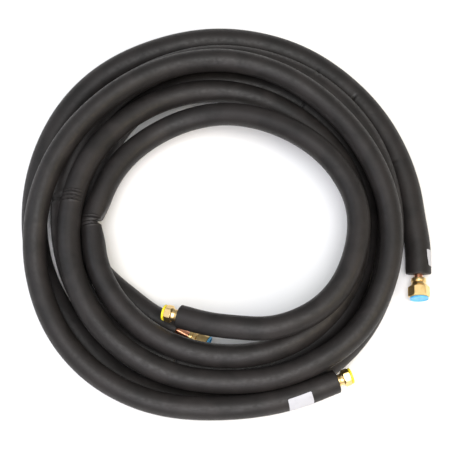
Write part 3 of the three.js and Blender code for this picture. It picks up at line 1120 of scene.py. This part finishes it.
    def build_cap(self) -> Piece:
        """Builds the cap: a plug with two beads, a round-edged flange and a dish with a mould's gate mark.

        Returns:
            The cap.
        """
        angles = round_the_section(self.sides)
        outline = self.cap_outline()
        height = outline[:, 1] + self.sizes.nut_length + self.seat
        points = carry(self.frames(height), outline[:, 0] * MM, angles)
        faces = grid_faces(len(outline), self.sides, rows_close=False)
        piece = piece_from(f"{self.name}_dust_cap", points, faces, sharp=40)
        slot = Slot.YELLOW if self.kind is LineKind.LIQUID else Slot.BLUE
        return self.fit(piece, f"{self.name}_cap", f"{self.name}_nut", slot)


@dataclass
class Line(Part):
    """One line of the set: its tube, sleeve, label and both fittings.

    Attributes:
        joints: The record's joints.
        creases: The folds in its sleeve.
        kinks: The stretches where it stands out from the CAD sleeve's curve.
        first: The end at which it starts to turn counter-clockwise.
        lips: The radius of the sleeve's outer edge at its start and its end, in millimetres.
        overhang: How far the top of each cut face of the sleeve stands out, in millimetres.
        ring_edge: A length between those of a CAD ring's edges and of the edges along the line, in metres.
    """

    joints: list[dict]
    creases: tuple[Crease, ...]
    kinks: tuple[Kink, ...]
    first: End
    lips: Pair
    overhang: Pair
    ring_edge: float = 8.6 * MM

    @property
    def shared(self) -> tuple[LineKind, LineSizes, Finishes]:
        """What each of its parts is given first."""
        return self.kind, self.sizes, self.finishes

    def fittings(self) -> dict[End, Fitting]:
        """Places a fitting on each end, where the joint on which its nut turns has its point and axis."""
        places = {joint["child"]: joint for joint in self.joints}
        made = {}
        for end in End:
            joint = places[f"{self.kind.value}_{end.value}_nut"]
            axis = unit(np.array(joint["axis"], float))
            made[end] = Fitting(*self.shared, end, np.array(joint["pos_m"], float), axis)
        return made

    def build(self) -> None:
        """Builds every piece of the line."""
        size = self.sizes
        path = Centreline(ring_middles(f"{self.kind.value}_line_foam", self.ring_edge), self.kinks)
        FoamSleeve(*self.shared, path, self.creases, self.lips, self.overhang).build()
        fittings = self.fittings()
        last = End.OUTER if self.first is End.INNER else End.INNER
        foam_ends = {self.first: path.stations[0], last: path.stations[-1]}
        stubs = [float(np.linalg.norm(fittings[end].base - place)) for end, place in foam_ends.items()]
        reach = size.nut_length - size.thread_depth - (size.flare_od - size.tube_od) / 2
        CopperTube(*self.shared, path, *(stub + reach * MM for stub in stubs)).build()
        from_end, length = size.label_from_end * MM, size.label_length * MM
        start = from_end if self.first is End.OUTER else path.length - from_end - length
        BlankLabel(*self.shared, path, start).build()
        for fitting in fittings.values():
            fitting.build_nut()
            fitting.build_cap()


@dataclass
class Studio:
    """The floor, the lights and the camera.

    Attributes:
        aim: The point that the camera looks at, in metres.
        elevation: The camera's height above the horizon, in degrees.
        distance: How far it stands from that point, in metres.
        lens: Its focal length on a 36 mm sensor, in millimetres.
    """

    aim: Triple = (-0.0008, -0.0015, 0)
    elevation: float = 72.5
    distance: float = 1.9
    lens: float = 131.3

    def build(self) -> None:
        """Builds the floor, the world, the lights and the camera."""
        self.floor()
        self.sky()
        bpy.context.scene.view_settings.view_transform = "Standard"
        self.overhead((0, -0.5, 2.2), 2.45, 36)
        self.softbox("front_softbox", (-0.2, -1.2, 1.2), 0.8, 12, (0.96, 0.93, 1))
        self.softbox("warm_softbox", (1.6, -0.7, 1.5), 1.0, 18, (1, 0.84, 0.58))
        self.softbox("cool_softbox", (-1.7, 0.3, 1.3), 1.0, 9, (0.8, 0.88, 1))
        self.camera()

    def floor(self) -> None:
        """Lays a dull, pale floor with a barely seen unevenness in its colour."""
        half = 4.0
        corners = np.array([[-half, -half, 0], [half, -half, 0], [half, half, 0], [-half, half, 0]])
        piece = piece_from("pale_floor", corners, np.array([[0, 1, 2, 3]]))
        pale, darker = (0.9, 0.9, 0.9), 0.985
        paint = Paint("pale_floor", 0.8)
        paint.shader.inputs["Specular IOR Level"].default_value = 0.1
        paint.blend(paint.noise(3, 2), pale, tuple(value * darker for value in pale))
        piece.data.materials.append(paint.material)

    def sky(self) -> None:
        """Fills the world with a plain pale light."""
        world = bpy.data.worlds.new("pale_sky")
        world.use_nodes = True
        ground = world.node_tree.nodes["Background"]
        ground.inputs["Color"].default_value = (1, 1, 1, 1)
        ground.inputs["Strength"].default_value = 0.36
        bpy.context.scene.world = world

    def overhead(self, place: Triple, strength: float, spread: float) -> None:
        """Lights everything evenly from one broad direction, as a very large and far softbox would.

        Args:
            place: A point that the light comes from, seen from the coil.
            strength: Its strength, in watts a square metre.
            spread: How broad it looks from the coil, in degrees.
        """
        light = bpy.data.lights.new("overhead_light", "SUN")
        light.energy = strength
        light.angle = spread * DEGREE
        self.hang(light, place)

    def softbox(self, name: str, place: Triple, size: float, power: float, tint: Triple) -> None:
        """Hangs a square light that faces the coil.

        Args:
            name: The light's name.
            place: Where it hangs, in metres.
            size: Its side, in metres.
            power: Its power, in watts.
            tint: Its colour.
        """
        light = bpy.data.lights.new(name, "AREA")
        light.size = size
        light.energy = power
        light.color = tint
        self.hang(light, place)

    def hang(self, light: bpy.types.Light, place: Triple) -> None:
        """Hangs a light at a place, facing the coil."""
        lamp = bpy.data.objects.new(light.name, light)
        lamp.location = place
        lamp.rotation_euler = (-Vector(place)).to_track_quat("-Z", "Y").to_euler()
        bpy.context.scene.collection.objects.link(lamp)

    def camera(self) -> None:
        """Stands the camera at the photograph's angle."""
        lens = bpy.data.cameras.new("camera")
        lens.lens = self.lens
        lens.sensor_width = 36
        lens.clip_start = 0.05
        lens.clip_end = 20
        camera = bpy.data.objects.new("camera", lens)
        rise = self.elevation * DEGREE
        back = Vector((0, -math.cos(rise), math.sin(rise)))
        camera.location = Vector(self.aim) + back * self.distance
        camera.rotation_euler = (-back).to_track_quat("-Z", "Y").to_euler()
        bpy.context.scene.collection.objects.link(camera)
        bpy.context.scene.camera = camera


def main() -> None:
    """Loads the frame and builds both lines and the studio around it."""
    logging.basicConfig(level=logging.INFO, format="%(name)s %(message)s")
    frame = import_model()
    Studio().build()
    finishes = make_finishes()
    joints = frame["joints"]
    suction = Line(
        LineKind.SUCTION, SUCTION_SIZES, finishes, joints, SUCTION_CREASES, SUCTION_KINKS,
        first=End.OUTER, lips=(1.8, 0.9), overhang=(3, 0),
    )
    liquid = Line(
        LineKind.LIQUID, LIQUID_SIZES, finishes, joints, LIQUID_CREASES, LIQUID_KINKS,
        first=End.INNER, lips=(0.9, 0.7), overhang=(0, 0.6),
    )
    for line in (suction, liquid):
        line.build()


if __name__ == "__main__":
    main()
